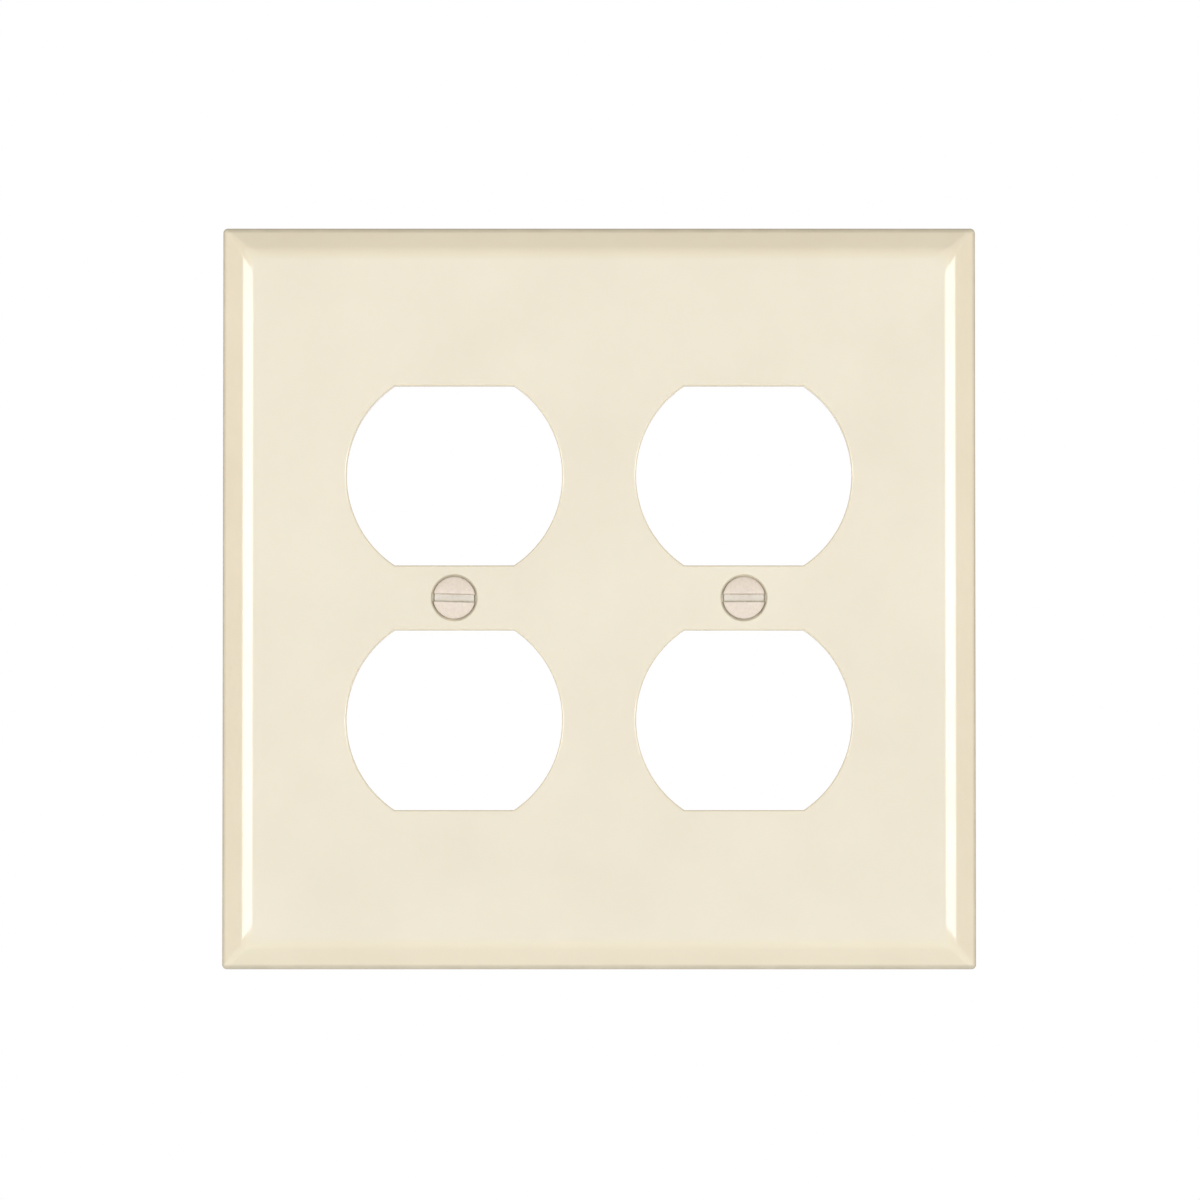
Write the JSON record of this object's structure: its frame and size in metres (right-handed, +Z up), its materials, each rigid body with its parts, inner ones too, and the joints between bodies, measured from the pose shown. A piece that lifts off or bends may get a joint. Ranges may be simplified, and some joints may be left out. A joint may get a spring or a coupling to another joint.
{
  "type": "duplex receptacle wall plate",
  "caption": "Duplex receptacle wall plate with flat-sided round openings, a bevelled rounded border and captive slotted oval-head screws.",
  "frame": {"origin": "on the wall plane, midway between the two mounting screws", "axes": "+Y into the wall, +Z up, +X to the right when facing the plate"},
  "size_m": [0.1198, 0.0135, 0.118],
  "materials": {
    "plate_plastic": "glossy light almond thermoplastic",
    "screw_enamel": "baked enamel matched to the plate over plated steel",
    "retainer_plastic": "translucent natural nylon"
  },
  "bodies": {
    "plate": {"wall_plate": "plate_plastic"},
    "left_retainer": {"left_screw_retainer": "retainer_plastic"},
    "left_screw": {"left_screw": "screw_enamel"},
    "right_retainer": {"right_screw_retainer": "retainer_plastic"},
    "right_screw": {"right_screw": "screw_enamel"}
  },
  "joints": [
    {"name": "left_retainer_slide", "type": "slide", "parent": "plate", "child": "left_retainer", "axis": [0, -1, 0], "range_m": [0, 0.0014]},
    {"name": "left_screw_turn", "type": "hinge", "parent": "left_retainer", "child": "left_screw", "pos_m": [-0.02302, 0, 0], "axis": [0, 1, 0], "continuous": true},
    {"name": "right_retainer_slide", "type": "slide", "parent": "plate", "child": "right_retainer", "axis": [0, -1, 0], "range_m": [0, 0.0014]},
    {"name": "right_screw_turn", "type": "hinge", "parent": "right_retainer", "child": "right_screw", "pos_m": [0.02302, 0, 0], "axis": [0, 1, 0], "continuous": true}
  ]
}
